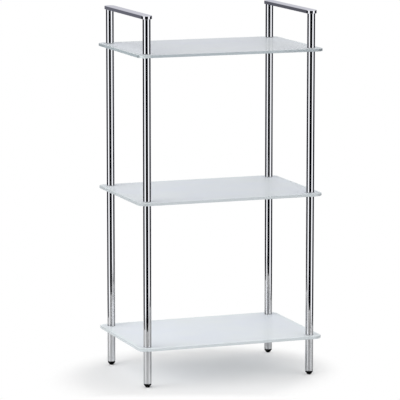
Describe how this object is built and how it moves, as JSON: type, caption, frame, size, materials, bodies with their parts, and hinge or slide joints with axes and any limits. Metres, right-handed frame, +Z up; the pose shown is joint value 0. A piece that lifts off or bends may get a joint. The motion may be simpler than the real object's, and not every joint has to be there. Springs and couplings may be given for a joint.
{
  "type": "glass shelving unit",
  "caption": "Free-standing shelving unit: frosted glass shelves clamped between round chromed tube posts, a flat bar across the top of each end, tapered rubber feet.",
  "frame": {"origin": "on the floor, below the middle of the shelves", "axes": "+Z up, -Y the front, +X to the right seen from the front; the shelves are wide along X and the top bars run along Y"},
  "size_m": [0.45, 0.31, 0.854],
  "materials": {
    "frosted_glass": "frosted",
    "chrome_tube": "mirror polished",
    "chrome_bar": "mirror polished",
    "black_rubber": "matte",
    "zinc_plug": "dull",
    "steel_stud": "bright zinc",
    "clear_bush": "clear"
  },
  "bodies": {
    "root": {"bottom_shelf_glass": "frosted_glass", "middle_shelf_glass": "frosted_glass", "top_shelf_glass": "frosted_glass", "left_top_bar": "chrome_bar", "right_top_bar": "chrome_bar", "front_left_foot": "black_rubber", "front_right_foot": "black_rubber", "rear_left_foot": "black_rubber", "rear_right_foot": "black_rubber", "front_left_foot_tube": "chrome_tube", "front_left_lower_tube": "chrome_tube", "front_left_upper_tube": "chrome_tube", "front_left_top_tube": "chrome_tube", "front_right_foot_tube": "chrome_tube", "front_right_lower_tube": "chrome_tube", "front_right_upper_tube": "chrome_tube", "front_right_top_tube": "chrome_tube", "rear_left_foot_tube": "chrome_tube", "rear_left_lower_tube": "chrome_tube", "rear_left_upper_tube": "chrome_tube", "rear_left_top_tube": "chrome_tube", "rear_right_foot_tube": "chrome_tube", "rear_right_lower_tube": "chrome_tube", "rear_right_upper_tube": "chrome_tube", "rear_right_top_tube": "chrome_tube", "foot_tube_bottom_plugs": "zinc_plug", "foot_tube_top_plugs": "zinc_plug", "lower_tube_bottom_plugs": "zinc_plug", "lower_tube_top_plugs": "zinc_plug", "upper_tube_bottom_plugs": "zinc_plug", "upper_tube_top_plugs": "zinc_plug", "top_tube_bottom_plugs": "zinc_plug", "top_tube_top_plugs": "zinc_plug", "bottom_shelf_under_bushes": "clear_bush", "bottom_shelf_over_bushes": "clear_bush", "middle_shelf_under_bushes": "clear_bush", "middle_shelf_over_bushes": "clear_bush", "top_shelf_under_bushes": "clear_bush", "top_shelf_over_bushes": "clear_bush", "bottom_shelf_studs": "steel_stud", "middle_shelf_studs": "steel_stud", "top_shelf_studs": "steel_stud", "bar_studs": "steel_stud"}
  },
  "joints": []
}
